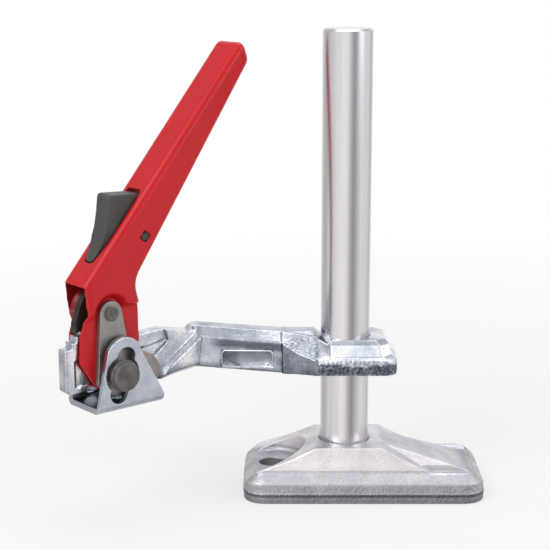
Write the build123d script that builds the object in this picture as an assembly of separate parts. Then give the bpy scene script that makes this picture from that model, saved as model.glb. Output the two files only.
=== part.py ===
from build123d import *
from math import atan2, cos, degrees, radians, sin, tan
import os

# Machine table clamp: cast foot, bright round column, forged cranked arm that slides and
# swivels on the column, and a pressed steel lever that drives a pressure shoe through two cams.
# Millimetres, +Z up. The origin is on the column's axis, at the foot's underside.
# The arm leaves the column along -X; its head is cranked towards -Y.

# Foot
FOOT_LEFT = 52.0
FOOT_RIGHT = 71.0
FOOT_WIDTH = 56.0
FOOT_CORNER = 11.0
PARTING_Z = 4.0
WALL_Z = 9.0
SHELF_Z = 13.0
WALL_DRAFT = 3.0
SHELF_INSET = 4.5
FLASH_PROUD = 0.35
FLASH_THICK = 0.8
BOSS_LEFT = 46.0
BOSS_RIGHT = 44.0
PLATEAU_Z = 27.0
PLATEAU_LEFT = 15.0
PLATEAU_RIGHT = 19.0
PLATEAU_WIDTH = 33.0
BOSS_FILLET = 1.0
RIB_TOP_WIDTH = 20.0
RIB_FOOT_WIDTH = 32.0
RIB_END_INSET = 7.0
RIB_END_HEIGHT = 0.6
BOLT_HOLE_D = 13.5
BOLT_X = 37.4
SPOT_FACE_R = 17.5
SPOT_FACE_FILLET = 2.0

# Column
COLUMN_D = 25.0
COLUMN_TOP_Z = 237.0
COLUMN_SEAT_Z = 5.0
COLUMN_CHAMFER = 1.0
SEAT_CLEARANCE = 0.02
SEAT_MOUTH = 1.2

# Arm collar, round the column
ARM_Z = 65.0
COLLAR_HEIGHT = 17.0
FLANGE_HEIGHT = 7.7
COLLAR_WIDTH = 39.0
COLLAR_END = 26.0
COLLAR_NECK = 32.5
COLLAR_SHOULDER = 15.5
COLLAR_CORNER = 7.0
BOSS_BASE_RISE = 1.2
BOSS_LEDGE = 2.5
BOSS_SIDE_RISE = 14.6
BOSS_SIDE_INSET = 1.5
BOSS_TOP_INSET = 2.2
BOSS_CORNER = 5.0
BOSS_SEAM = 8.0
FLANGE_DRAFT = 2.0
FLARE_MID = 24.0
FLARE_END = 1.0
ARM_BORE_CLEARANCE = 0.3
RING_WIDTH = 3.0
RING_DEPTH = 2.2
RING_CLEARANCE = 0.08

# Arm shank, between the collar and the crank
SHANK_WIDTH = 20.0
SHANK_HEIGHT = 20.5
SHANK_DROP = 1.0
SHANK_TOP_WIDTH = 9.0
SHANK_SHOULDER = 4.6
SHANK_DRAFT = 1.4
SHANK_HEEL = 1.2
NECK_STEP = 0.7
CRANK_X = 76.0
CRANK_RISE = 2.0
CRANK_WIDTH = 16.5
CRANK_KNUCKLE = 0.2
HEAD_TURN = 40.0
PANEL_X = 49.5
PANEL_Z = 6.4
PANEL_LENGTH = 26.0
PANEL_HEIGHT = 7.4
PANEL_DEPTH = 0.5
PANEL_CORNER = 1.2

# Arm head, with the pivot at its end
PIVOT_REACH = 55.4
PIVOT_Z = 8.5
TONGUE_WIDTH = 6.8
WEB_WIDTH = 10.4
HUB_R = 10.4
TOOTH_TIP_R = 27.7
TOOTH_DEPTH = 2.0
TOOTH_START = 92.6
TOOTH_PITCH = 8.15
TOOTH_COUNT = 7
TONGUE_END = 25.6
TONGUE_TOP = 14.2
TONGUE_LOW = 8.0
TONGUE_RELIEF = 0.6
LEVER_ROOM_R = 24.2
LEVER_ROOM_TIP = (33.6, 9.8)
POCKET_TOP = 8.5
POCKET_DEPTH = 0.8
CAM_ROOM_R = 27.2
HEAD_BEVEL = 38.0

# Lever, a folded channel. Its grip is drawn from the mouth's outer corner
SHEET = 2.0
LEVER_WIDTH = 20.5
LEVER_WAIST = 11.6
MOUTH_S = -17.8
MOUTH_Z = 45.3
LEVER_LEAN = 40.5
GRIP_LENGTH = 149.3
GRIP_TIP_DEPTH = 11.1
GRIP_TIP_DROP = 6.2
GRIP_ROOT_DEPTH = 23.2
GRIP_ROOT_RISE = 18.2
LEVER_HUB_R = 10.6
LEVER_BEND_R = 3.6
RECESS_R = 7.6
RECESS_DRAFT = 32.0
RECESS_FRONT = 22.0
RECESS_REAR = 31.5
TIP_RADIUS = 3.0
TIP_HEEL_R = 5.5

# Cams, and the rivets that tie them to the lever
CAM_THICKNESS = 3.0
RIVET_S = -2.6
RIVET_Z = 30.1
CAM_EYE_R = 6.2
RIVET_D = 5.0
RIVET_HEAD_D = 7.0
RIVET_HEAD_T = 1.4
RIVET_CLEARANCE = 0.02
PIN_PRESS_ROOM = 0.02

# Pivot pin
PIN_D = 9.6
PIN_COLLAR_D = 15.8
PIN_COLLAR_T = 1.4
PIN_HEAD_D = 14.5
PIN_HEAD_T = 2.5
PIN_HEAD_FILLET = 0.6
RUNNING = 0.05
SIDE_CLEARANCE = 0.3

# Pressure shoe, a folded U
SHOE_SHEET = 3.0
SHOE_WIDTH = 28.0
SHOE_OUTER_END = -14.6
SHOE_INNER_END = 24.3
SHOE_DROP = 18.1
SHOE_BEND_R = 3.8
EAR_TOP_R = 10.2
EAR_TOP_S = 1.3
EAR_TOP_Z = 8.5
EAR_HEEL = 4.5
SLOT_WIDTH = 10.0
SLOT_TILT = 14.7
SLOT_UP = 8.8
SLOT_DOWN = 9.3
KEYHOLE_D = 18.4
SHOE_HOLE_D = 6.5

# Release trigger, its pawl and spring
TRIGGER_RISE = 38.3
TRIGGER_DEPTH = 13.6
TRIGGER_WIDTH = 10.6
TRIGGER_ROOM = 0.5
TRIGGER_LOW = 13.2
TRIGGER_HIGH = 54.0
TRIGGER_TRAVEL = 1.3
TRIGGER_CORNER = 2.4
TRIGGER_WAIST = 25.0
TRIGGER_TAIL = 6.0
WINDOW = 4.6
LUG_D = 4.2
PAWL_WIDTH = 4.0
PAWL_GAP = 0.35
PAWL_TIP_ANGLE = 131.0
SPRING_WIRE = 0.8
SPRING_R = 3.2
SPRING_TURNS = 2.0

FOOT_LENGTH = FOOT_LEFT + FOOT_RIGHT
FOOT_CENTRE = (FOOT_RIGHT - FOOT_LEFT) / 2
WALL_INSET = (WALL_Z - PARTING_Z) * tan(radians(WALL_DRAFT))
SHELF_WIDTH = FOOT_WIDTH - 2 * (WALL_INSET + SHELF_INSET)

arm_frame = Pos(0, 0, ARM_Z)
head_frame = arm_frame * Pos(
    -CRANK_X - PIVOT_REACH * cos(radians(HEAD_TURN)),
    -PIVOT_REACH * sin(radians(HEAD_TURN)),
    PIVOT_Z,
) * Rot(0, 0, HEAD_TURN)
grip_frame = Pos(MOUTH_S, 0, MOUTH_Z) * Rot(0, LEVER_LEAN, 0)


def outline(*corners):
    """Closed outline through (x, y) or (x, y, radius) corners, facing up."""
    points = [corner[:2] for corner in corners]
    doubled_area = sum(a[0] * b[1] - b[0] * a[1] for a, b in zip(points, points[1:] + points[:1]))
    if doubled_area < 0:
        points.reverse()
    face = make_face(Polyline(*points, close=True))
    for x, y, radius in (corner for corner in corners if len(corner) > 2):
        face = fillet(face.vertices().sort_by_distance((x, y, 0))[0], radius)
    return face


def across(face, half):
    """Extrude a side outline equally to both sides of the mid-plane."""
    return extrude(Plane.XZ * face, half, both=True)


def near_slab(face, low, high, taper=0):
    """Extrude a side outline on the near side, between two distances from the mid-plane."""
    return extrude(Plane.XZ.offset(low) * face, high - low, taper=taper)


def far(part):
    """Mirror a near-side piece to the far side."""
    return mirror(part, about=Plane.XZ)


def cross_bore(s, z, radius, half):
    """Round bore or shaft across the mid-plane."""
    return across(Pos(s, z) * Circle(radius), half)


def grip_point(rise, depth):
    """Side-view point at a height along the grip and a depth behind its web's outer face."""
    lean = radians(LEVER_LEAN)
    return (
        MOUTH_S + rise * sin(lean) + depth * cos(lean),
        MOUTH_Z + rise * cos(lean) - depth * sin(lean),
    )


def polar(radius, angle):
    """Side-view point at a radius and an angle about the pivot."""
    return (radius * cos(radians(angle)), radius * sin(radians(angle)))


def make_foot():
    place = Pos(FOOT_CENTRE, 0, 0)
    plan = RectangleRounded(FOOT_LENGTH, FOOT_WIDTH, FOOT_CORNER)
    wall_plan = RectangleRounded(
        FOOT_LENGTH - 2 * WALL_INSET, FOOT_WIDTH - 2 * WALL_INSET, FOOT_CORNER - WALL_INSET
    )
    flash_plan = RectangleRounded(
        FOOT_LENGTH + 2 * FLASH_PROUD, FOOT_WIDTH + 2 * FLASH_PROUD, FOOT_CORNER + FLASH_PROUD
    )
    shelf_slope = degrees(atan2(SHELF_INSET, SHELF_Z - WALL_Z))
    body = extrude(plan, PARTING_Z)
    body += extrude(Pos(0, 0, PARTING_Z) * plan, WALL_Z - PARTING_Z, taper=WALL_DRAFT)
    body += extrude(Pos(0, 0, WALL_Z) * wall_plan, SHELF_Z - WALL_Z, taper=shelf_slope)
    body += extrude(Pos(0, 0, PARTING_Z - FLASH_THICK / 2) * flash_plan, FLASH_THICK)
    body = place * body

    boss_foot = Pos((BOSS_RIGHT - BOSS_LEFT) / 2, 0, SHELF_Z) * Rectangle(
        BOSS_LEFT + BOSS_RIGHT, SHELF_WIDTH
    )
    plateau = Pos((PLATEAU_RIGHT - PLATEAU_LEFT) / 2, 0, PLATEAU_Z) * Rectangle(
        PLATEAU_LEFT + PLATEAU_RIGHT, PLATEAU_WIDTH
    )
    boss = loft([boss_foot, plateau], ruled=True)
    boss = fillet(boss.edges().filter_by_position(Axis.Z, SHELF_Z + 0.1, PLATEAU_Z), BOSS_FILLET)

    rib_height = PLATEAU_Z - SHELF_Z
    root = outline(
        (-RIB_FOOT_WIDTH / 2, 0),
        (RIB_FOOT_WIDTH / 2, 0),
        (RIB_TOP_WIDTH / 2, rib_height),
        (-RIB_TOP_WIDTH / 2, rib_height),
    )
    tip = outline(
        (-RIB_FOOT_WIDTH / 2, 0),
        (RIB_FOOT_WIDTH / 2, 0),
        (RIB_FOOT_WIDTH / 2 - RIB_END_HEIGHT, RIB_END_HEIGHT),
        (-RIB_FOOT_WIDTH / 2 + RIB_END_HEIGHT, RIB_END_HEIGHT),
    )
    rib = loft(
        [
            Plane.YZ.offset(PLATEAU_RIGHT - BOSS_FILLET) * Pos(0, SHELF_Z) * root,
            Plane.YZ.offset(FOOT_RIGHT - RIB_END_INSET) * Pos(0, SHELF_Z) * tip,
        ],
        ruled=True,
    )

    spot_face = Pos(0, 0, SHELF_Z + PLATEAU_Z / 2) * Cylinder(SPOT_FACE_R, PLATEAU_Z)
    spot_face = fillet(spot_face.edges().group_by(Axis.Z)[0], SPOT_FACE_FILLET)
    bolt_hole = Cylinder(BOLT_HOLE_D / 2, 4 * SHELF_Z)
    seat = Pos(0, 0, COLUMN_SEAT_Z) * Cylinder(
        COLUMN_D / 2 + SEAT_CLEARANCE, PLATEAU_Z, align=(Align.CENTER, Align.CENTER, Align.MIN)
    )
    mouth = Pos(0, 0, PLATEAU_Z - SEAT_MOUTH) * Cone(
        COLUMN_D / 2, COLUMN_D / 2 + SEAT_MOUTH, SEAT_MOUTH, align=(Align.CENTER, Align.CENTER, Align.MIN)
    )
    foot = body + boss + rib
    return foot - Pos(-BOLT_X, 0, 0) * (spot_face + bolt_hole) - seat - mouth


def make_column():
    column = Pos(0, 0, COLUMN_SEAT_Z) * Cylinder(
        COLUMN_D / 2, COLUMN_TOP_Z - COLUMN_SEAT_Z, align=(Align.CENTER, Align.CENTER, Align.MIN)
    )
    return chamfer(column.edges().filter_by(GeomType.CIRCLE), COLUMN_CHAMFER)


def collar_plan(inset=0):
    half = COLLAR_WIDTH / 2 - inset
    return outline(
        (COLLAR_END - inset, half, COLLAR_CORNER),
        (COLLAR_END - inset, -half, COLLAR_CORNER),
        (-COLLAR_SHOULDER, -half),
        (-COLLAR_SHOULDER, half),
    )


def boss_plan(inset):
    """Six-sided plan of the raised boss, set in from the collar's edge."""
    half = COLLAR_WIDTH / 2 - inset
    end = COLLAR_END - inset
    return outline(
        (end, half - BOSS_CORNER), (end, BOSS_CORNER - half),
        (end - BOSS_CORNER, -half), (-BOSS_SEAM, -half),
        (-BOSS_SEAM, half), (end - BOSS_CORNER, half),
    )


def make_collar():
    flange = extrude(collar_plan(), FLANGE_HEIGHT, taper=FLANGE_DRAFT)
    flange_inset = FLANGE_HEIGHT * tan(radians(FLANGE_DRAFT))
    side_inset = BOSS_LEDGE + BOSS_SIDE_INSET
    levels = (
        (FLANGE_HEIGHT, flange_inset),
        (FLANGE_HEIGHT + BOSS_BASE_RISE, BOSS_LEDGE),
        (BOSS_SIDE_RISE, side_inset),
        (COLLAR_HEIGHT, side_inset + BOSS_TOP_INSET),
    )
    boss = loft([Pos(0, 0, z) * boss_plan(inset) for z, inset in levels], ruled=True)
    return flange + boss


def arm_section(x, *corners):
    """Mirror-symmetric cross-section of the arm, through (half-width, height) corners."""
    far_side = [(-half, z) for half, z in reversed(corners)]
    return Plane.YZ.offset(-x) * outline(*corners, *far_side)


def shank_section(x, width, low):
    """Section with a bevelled top, drafted sides and a small bevel at the bottom."""
    top = low + SHANK_HEIGHT
    wide = width / 2 + SHANK_DRAFT
    return arm_section(
        x, (wide - SHANK_HEEL, low), (wide, low + SHANK_HEEL),
        (width / 2, top - SHANK_SHOULDER), (SHANK_TOP_WIDTH / 2, top),
    )


def make_flare():
    """Widening neck between the shank and the collar."""
    half = COLLAR_WIDTH / 2
    low = -SHANK_DROP
    top = SHANK_HEIGHT - SHANK_DROP
    neck = SHANK_WIDTH / 2 + NECK_STEP
    middle = (neck + half) / 2
    shoulder_top = COLLAR_HEIGHT + NECK_STEP
    ledge = FLANGE_HEIGHT + BOSS_BASE_RISE
    return loft(
        [
            arm_section(COLLAR_NECK, (neck + SHANK_DRAFT, low), (neck, top - SHANK_SHOULDER),
                        (SHANK_TOP_WIDTH / 2 + NECK_STEP, top)),
            arm_section(FLARE_MID, (middle, low / 2), (middle, FLANGE_HEIGHT + BOSS_LEDGE),
                        (SHANK_TOP_WIDTH / 2 + BOSS_LEDGE, (top + shoulder_top) / 2)),
            arm_section(COLLAR_SHOULDER, (half, 0), (half - FLANGE_HEIGHT * tan(radians(FLANGE_DRAFT)),
                        FLANGE_HEIGHT), (half / 2, shoulder_top)),
            arm_section(FLARE_END, (half - BOSS_LEDGE, 0), (half - BOSS_LEDGE, FLANGE_HEIGHT),
                        (half / 2, ledge)),
        ],
        ruled=True,
    )


def make_shank():
    return loft(
        [
            shank_section(COLLAR_SHOULDER, SHANK_WIDTH, -SHANK_DROP),
            shank_section(COLLAR_NECK, SHANK_WIDTH, -SHANK_DROP),
            shank_section(CRANK_X, CRANK_WIDTH, CRANK_RISE),
        ],
        ruled=True,
    )


def make_panel():
    """Shallow bare panel sunk into the shank's near side."""
    share = (PANEL_X - COLLAR_NECK) / (CRANK_X - COLLAR_NECK)
    face = (SHANK_WIDTH + share * (CRANK_WIDTH - SHANK_WIDTH) + SHANK_DRAFT) / 2
    plan = RectangleRounded(PANEL_LENGTH, PANEL_HEIGHT, PANEL_CORNER)
    slope = degrees(atan2(SHANK_DRAFT, SHANK_HEIGHT - SHANK_SHOULDER))
    turn = degrees(atan2((SHANK_WIDTH - CRANK_WIDTH) / 2, CRANK_X - COLLAR_NECK))
    place = Pos(-PANEL_X, -face, PANEL_Z) * Rot(0, 0, turn) * Rot(90 - slope, 0, 0)
    return place * extrude(plan, PANEL_DEPTH, both=True)


def tooth_points():
    """Zigzag of the ratchet's teeth, about the pivot."""
    points = []
    for tooth in range(TOOTH_COUNT):
        angle = TOOTH_START + tooth * TOOTH_PITCH
        points.append(polar(TOOTH_TIP_R, angle))
        points.append(polar(TOOTH_TIP_R - TOOTH_DEPTH, angle + TOOTH_PITCH / 2))
    return points


def make_head():
    low = CRANK_RISE - PIVOT_Z
    crank_top = low + SHANK_HEIGHT
    reach = CAM_ROOM_R + 9
    thick = outline(
        (PIVOT_REACH, low),
        (reach, low - 1.8, 8),
        (CAM_ROOM_R - 1, low - 3.4, 2),
        (CAM_ROOM_R - 1, low - 0.5, 1),
        (CAM_ROOM_R + 4, low + 5, 2),
        (PIVOT_REACH - 1.5, crank_top - 1),
        (PIVOT_REACH, crank_top - 1),
    )
    web = outline(
        (PIVOT_REACH, low),
        (reach, low - 1.8),
        (CAM_ROOM_R - 4, low - 2.5),
        (HUB_R, low),
        (HUB_R, crank_top + 1, 6),
        (CAM_ROOM_R + 3, crank_top + 2, 8),
        (PIVOT_REACH - 7, crank_top - 2, 4),
        (PIVOT_REACH, crank_top - 3),
    )
    tongue = outline(
        (CAM_ROOM_R - 1, low - 2.5),
        (CAM_ROOM_R - 1, crank_top + 1),
        (HUB_R + 4, crank_top + 1, 3),
        polar(TOOTH_TIP_R - TOOTH_DEPTH, TOOTH_START - TOOTH_PITCH),
        *tooth_points(),
        (-TONGUE_END, TONGUE_TOP),
        (-TONGUE_END, 1.7 - TONGUE_LOW),
        (1.7 - TONGUE_END, -TONGUE_LOW),
    )
    knuckle = CRANK_WIDTH / 2 + CRANK_KNUCKLE
    crank_profile = outline(
        (0, low), (knuckle + SHANK_DRAFT - SHANK_HEEL, low), (knuckle + SHANK_DRAFT, low + SHANK_HEEL),
        (knuckle, crank_top - SHANK_SHOULDER), (SHANK_TOP_WIDTH / 2 + CRANK_KNUCKLE, crank_top),
        (0, crank_top),
    )
    crank = Pos(PIVOT_REACH, 0, 0) * revolve(Plane.XZ * crank_profile, Axis.Z)

    web_half = WEB_WIDTH / 2
    slope = near_slab(thick, web_half, CRANK_WIDTH / 2, taper=HEAD_BEVEL)
    head = across(thick, web_half) + slope + far(slope) - cross_bore(0, 0, CAM_ROOM_R, CRANK_WIDTH)
    tip_s, tip_z = LEVER_ROOM_TIP
    lever_room = Circle(LEVER_ROOM_R) + outline(
        (0, 0), (LEVER_ROOM_R, POCKET_TOP / 3), (tip_s, tip_z),
        (tip_s - 2.5, 2 * tip_z), (0, 2 * tip_z),
    )
    head += across(web, web_half) - across(lever_room, WEB_WIDTH)
    thin = across(tongue, TONGUE_WIDTH / 2) + cross_bore(0, 0, HUB_R, TONGUE_WIDTH / 2)
    thin += across(web, TONGUE_WIDTH / 2)
    pocket = outline(
        (HUB_R, POCKET_TOP), (LEVER_ROOM_R - 2, POCKET_TOP), (tip_s, tip_z + 1),
        (LEVER_ROOM_R, POCKET_TOP / 3), (HUB_R + 4, low),
    )
    relief = outline((-20.6, POCKET_TOP), (-20.6, -5), (-HUB_R + 1, -5), (-HUB_R + 1, POCKET_TOP))
    sunk = near_slab(pocket, TONGUE_WIDTH / 2 - POCKET_DEPTH, WEB_WIDTH)
    sunk += near_slab(relief, TONGUE_WIDTH / 2 - TONGUE_RELIEF, WEB_WIDTH)
    head += thin - sunk - far(sunk)
    head += crank
    return head - cross_bore(0, 0, PIN_D / 2 + PIN_PRESS_ROOM, CRANK_WIDTH)


def make_arm():
    arm = arm_frame * (make_collar() + make_flare() + make_shank()) + head_frame * make_head()
    arm -= arm_frame * make_panel()
    bore = Cylinder(COLUMN_D / 2 + ARM_BORE_CLEARANCE, 4 * COLLAR_HEIGHT)
    groove = Pos(0, 0, COLLAR_HEIGHT / 2) * Cylinder(COLUMN_D / 2 + RING_DEPTH, RING_WIDTH)
    return arm - arm_frame * (bore + groove)


def make_friction_ring():
    height = RING_WIDTH - 2 * RING_CLEARANCE
    ring = Cylinder(COLUMN_D / 2 + RING_DEPTH - RING_CLEARANCE, height)
    ring -= Cylinder(COLUMN_D / 2 + RING_CLEARANCE, 2 * height)
    return arm_frame * Pos(0, 0, COLLAR_HEIGHT / 2) * ring


def lever_outline():
    hub_low = -LEVER_HUB_R
    return outline(
        grip_point(0, 0),
        (*grip_point(GRIP_LENGTH, 0), TIP_RADIUS),
        (*grip_point(GRIP_LENGTH - GRIP_TIP_DROP, GRIP_TIP_DEPTH), TIP_HEEL_R),
        (*grip_point(GRIP_ROOT_RISE, GRIP_ROOT_DEPTH), 12),
        (15.4, 30, 10),
        (15.7, 13, 8),
        (9, hub_low / 2, 4),
        (0, hub_low, 4),
        (-9.2, -7.2, 2),
        (-12.4, -3, 3),
        (-18.8, 7, 4),
        (-18.2, 20, 5),
        (-15.8, 27, 5),
        (-17, 36, 5),
    )


def lever_recess(margin=0):
    """Side outline where the channel's cheeks step in beside the arm's tongue."""
    far_out = 2 * GRIP_ROOT_DEPTH
    rear = RECESS_REAR + margin
    shape = Pos(RIVET_S, RIVET_Z) * Circle(RECESS_R + margin)
    return shape + outline(
        (-far_out, -far_out), (far_out, -far_out), (far_out, rear), (RIVET_S + RECESS_R / 2, rear),
        (RIVET_S - RECESS_R, RIVET_Z), (-RECESS_FRONT, RECESS_FRONT + margin),
        (-far_out, RECESS_FRONT + margin),
    )


def make_lever():
    side = lever_outline()
    body = across(side, LEVER_WIDTH / 2)
    body = fillet(body.edges().filter_by(is_web_edge), LEVER_BEND_R)

    waist = LEVER_WAIST / 2
    recess = near_slab(lever_recess(), waist, waist + LEVER_WIDTH, taper=-RECESS_DRAFT)
    body -= recess + far(recess)

    cavity = outline(
        grip_point(0, 0),
        grip_point(0, SHEET),
        (*grip_point(GRIP_LENGTH - SHEET, SHEET), TIP_RADIUS - SHEET),
        grip_point(GRIP_LENGTH - GRIP_TIP_DROP - SHEET, 2 * GRIP_TIP_DEPTH),
        grip_point(0, 2 * GRIP_ROOT_DEPTH),
        (50, -40),
        (-40, -40),
        (-40, MOUTH_Z),
    )
    narrow = across(cavity, waist - SHEET)
    wide = across(cavity, LEVER_WIDTH / 2 - SHEET)
    block = near_slab(lever_recess(SHEET), waist - SHEET, LEVER_WIDTH, taper=-RECESS_DRAFT)
    wide = wide - block - far(block)
    body = body - wide - narrow

    slot = trigger_plan(TRIGGER_ROOM, TRIGGER_TRAVEL, 2 * SHEET)
    window = Pos(TRIGGER_DEPTH, 0, TRIGGER_RISE) * Box(WINDOW, 2 * LEVER_WIDTH, WINDOW)
    body -= grip_frame * (slot + window)
    body -= cross_bore(0, 0, PIN_D / 2 + RUNNING, LEVER_WIDTH)
    return body - cross_bore(RIVET_S, RIVET_Z, RIVET_D / 2 + RIVET_CLEARANCE, LEVER_WIDTH)


def is_web_edge(edge):
    """True for the two long edges where the sheet is bent from the web into the cheeks."""
    middle = grip_frame.inverse() * Pos(edge.center())
    return abs(middle.position.X) < SHEET / 2 and edge.length > GRIP_LENGTH / 2


def make_cam():
    side = outline(
        (RIVET_S - CAM_EYE_R, RIVET_Z),
        (RIVET_S + CAM_EYE_R - 0.2, RIVET_Z + 1.5),
        (7, 13.5, 4),
        (14.9, 9, 5),
        (21.8, 5.4, 5),
        (26.6, -1.6, 3.5),
        (22.4, -10.6, 5),
        (14.5, -14.6, 4),
        (3.5, -12.2, 6),
        (-4, -10.8, 4),
        (-10.9, -5, 4),
    )
    side += Pos(RIVET_S, RIVET_Z) * Circle(CAM_EYE_R)
    side -= Circle(PIN_D / 2 + RUNNING)
    side -= Pos(RIVET_S, RIVET_Z) * Circle(RIVET_D / 2 + RIVET_CLEARANCE)
    return near_slab(side, LEVER_WAIST / 2, LEVER_WAIST / 2 + CAM_THICKNESS)


def make_cam_rivet():
    face = LEVER_WAIST / 2 + CAM_THICKNESS
    place = Pos(RIVET_S, RIVET_Z)
    shank = near_slab(place * Circle(RIVET_D / 2), LEVER_WAIST / 2 - SHEET + RIVET_CLEARANCE, face)
    head = near_slab(place * Circle(RIVET_HEAD_D / 2), face, face + RIVET_HEAD_T)
    return shank + fillet(head.edges().group_by(Axis.Y)[0], RIVET_HEAD_T / 3)


def make_pin():
    reach = SHOE_WIDTH / 2 + SIDE_CLEARANCE
    shaft = cross_bore(0, 0, PIN_D / 2, reach)
    head = near_slab(Circle(PIN_COLLAR_D / 2), reach, reach + PIN_COLLAR_T)
    cap_base = reach + PIN_COLLAR_T
    cap = near_slab(Circle(PIN_HEAD_D / 2), cap_base, cap_base + PIN_HEAD_T)
    cap = fillet(cap.edges().group_by(Axis.Y)[0], PIN_HEAD_FILLET)
    head += cap
    return shaft + head + far(head)


def make_shoe():
    low = -SHOE_DROP
    ear = outline(
        (SHOE_OUTER_END, low),
        (SHOE_INNER_END, low),
        (SHOE_INNER_END, low + EAR_HEEL),
        (EAR_TOP_S + EAR_TOP_R - 0.3, EAR_TOP_Z + 2.5),
        (EAR_TOP_S - EAR_TOP_R + 0.2, EAR_TOP_Z + 2),
    )
    ear += Pos(EAR_TOP_S, EAR_TOP_Z) * Circle(EAR_TOP_R)
    slot_plan = Pos((SLOT_UP - SLOT_DOWN) / 2, 0) * SlotCenterToCenter(SLOT_UP + SLOT_DOWN, SLOT_WIDTH)
    slot = Rot(0, 0, 90 - SLOT_TILT) * slot_plan
    height = SHOE_DROP + EAR_TOP_Z + EAR_TOP_R + 1
    outer = Pos(0, low + height / 2) * Rectangle(SHOE_WIDTH, height)
    outer = fillet(outer.vertices().group_by(Axis.Y)[0], SHOE_BEND_R)
    inner_width = SHOE_WIDTH - 2 * SHOE_SHEET
    inner = Pos(0, low + SHOE_SHEET + height / 2) * Rectangle(inner_width, height)
    inner = fillet(inner.vertices().group_by(Axis.Y)[0], SHOE_BEND_R - SHOE_SHEET)
    channel = extrude(Plane.YZ.offset(SHOE_OUTER_END - 1) * (outer - inner), SHOE_INNER_END - SHOE_OUTER_END + 2)
    shoe = channel & across(ear - slot - Circle(KEYHOLE_D / 2), SHOE_WIDTH)
    floor_hole = Pos((SHOE_OUTER_END + SHOE_INNER_END) / 2, 0, low) * Cylinder(SHOE_HOLE_D / 2, 4 * SHOE_SHEET)
    return shoe - floor_hole


def pawl_outline():
    return outline(
        (*grip_point(33, 9), 1),
        (*grip_point(33, 14), 1),
        (*grip_point(4, 11.5), 10),
        (*grip_point(-8, 14.6), 8),
        polar(TOOTH_TIP_R + PAWL_GAP, PAWL_TIP_ANGLE - 8),
        polar(TOOTH_TIP_R + PAWL_GAP, PAWL_TIP_ANGLE),
        (*grip_point(-15, 11.6), 1),
        (*grip_point(-3, 7.6), 8),
    )


def make_pawl():
    return across(pawl_outline(), PAWL_WIDTH / 2)


def trigger_plan(room, travel, reach):
    """Drop-shaped prism through the web, with a room all round the trigger."""
    half = TRIGGER_WIDTH / 2 + room
    tail = TRIGGER_TAIL / 2 + room
    high = TRIGGER_HIGH + room + travel
    low = TRIGGER_LOW - room
    plan = outline(
        (half, high, TRIGGER_CORNER), (half, TRIGGER_WAIST), (tail, low, TRIGGER_CORNER),
        (-tail, low, TRIGGER_CORNER), (-half, TRIGGER_WAIST), (-half, high, TRIGGER_CORNER),
    )
    return extrude(Plane.YZ * plan, reach, both=True)


def make_trigger():
    side = outline(
        (*grip_point(TRIGGER_LOW, 2.5), 1.5),
        (*grip_point(TRIGGER_LOW, -0.3), 0.8),
        grip_point(18, -0.8),
        grip_point(24, -2.4),
        grip_point(30, -4.9),
        grip_point(36, -8.3),
        (*grip_point(43.5, -13.4), 2),
        grip_point(50.5, -4.2),
        (*grip_point(TRIGGER_HIGH, 0.4), 2),
        (*grip_point(TRIGGER_HIGH, 4), 2),
        (*grip_point(44, 17), 3),
        (*grip_point(34, 17), 3),
        (*grip_point(22, 8), 4),
    )
    body = across(side, TRIGGER_WIDTH) & (grip_frame * trigger_plan(0, 0, 2 * GRIP_ROOT_DEPTH))
    pivot = Pos(*grip_point(TRIGGER_RISE, TRIGGER_DEPTH))
    lugs = across(pivot * Circle(LUG_D / 2), LEVER_WIDTH / 2 - 0.4)
    body += lugs
    return body - make_pawl()


def make_spring():
    pitch = SPRING_WIRE * 1.1
    coil = Helix(pitch, pitch * SPRING_TURNS, SPRING_R)
    start = coil @ 0
    section = Plane(origin=start, z_dir=coil % 0) * Circle(SPRING_WIRE / 2)
    wire = sweep(section, path=coil)
    s, z = grip_point(TRIGGER_RISE, TRIGGER_DEPTH)
    return Pos(s, -TRIGGER_WIDTH / 2 - SPRING_WIRE / 2 - 0.1, z) * Rot(90, 0, 0) * wire


parts = {
    "foot": make_foot(),
    "column": make_column(),
    "arm": make_arm(),
    "friction_ring": make_friction_ring(),
    "lever": head_frame * make_lever(),
    "cam_near": head_frame * make_cam(),
    "cam_far": head_frame * far(make_cam()),
    "cam_rivet_near": head_frame * make_cam_rivet(),
    "cam_rivet_far": head_frame * far(make_cam_rivet()),
    "pivot_pin": head_frame * make_pin(),
    "shoe": head_frame * make_shoe(),
    "pawl": head_frame * make_pawl(),
    "release_trigger": head_frame * make_trigger(),
    "trigger_spring": head_frame * make_spring(),
}

os.makedirs("parts", exist_ok=True)
for name, solid in parts.items():
    export_step(solid, f"parts/{name}.step")
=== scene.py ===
"""Looks of the machine table clamp: skins, finishes, camera, floor and light.

The frame's nodes are in metres, +Z up, with the origin on the column's axis at the foot's
underside. Sizes are in millimetres unless a name or docstring says otherwise. A skin is a closed
mesh grown over a CAD node, whose edges are eased as forging, pressing or moulding leaves them.
A tone multiplies a finish's colour at a point, so 1 leaves it as it is. The tones are
mostly painted shade and highlight.
"""

import logging
import math
from collections.abc import Callable
from dataclasses import dataclass
from enum import Enum

import bmesh
import bpy
from mathutils import Matrix, Vector, noise


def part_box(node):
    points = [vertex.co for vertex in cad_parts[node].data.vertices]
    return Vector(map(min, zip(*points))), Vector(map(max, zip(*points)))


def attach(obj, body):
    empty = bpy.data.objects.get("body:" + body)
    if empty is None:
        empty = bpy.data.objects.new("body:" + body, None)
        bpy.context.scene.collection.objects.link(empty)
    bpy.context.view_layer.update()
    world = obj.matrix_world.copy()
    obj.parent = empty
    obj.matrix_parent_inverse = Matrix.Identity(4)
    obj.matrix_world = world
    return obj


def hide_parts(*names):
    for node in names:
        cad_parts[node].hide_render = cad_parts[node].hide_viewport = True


Tree = bpy.types.NodeTree
Socket = bpy.types.NodeSocket
Mesh = bpy.types.Mesh
Shaper = Callable[[Mesh], None]
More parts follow.
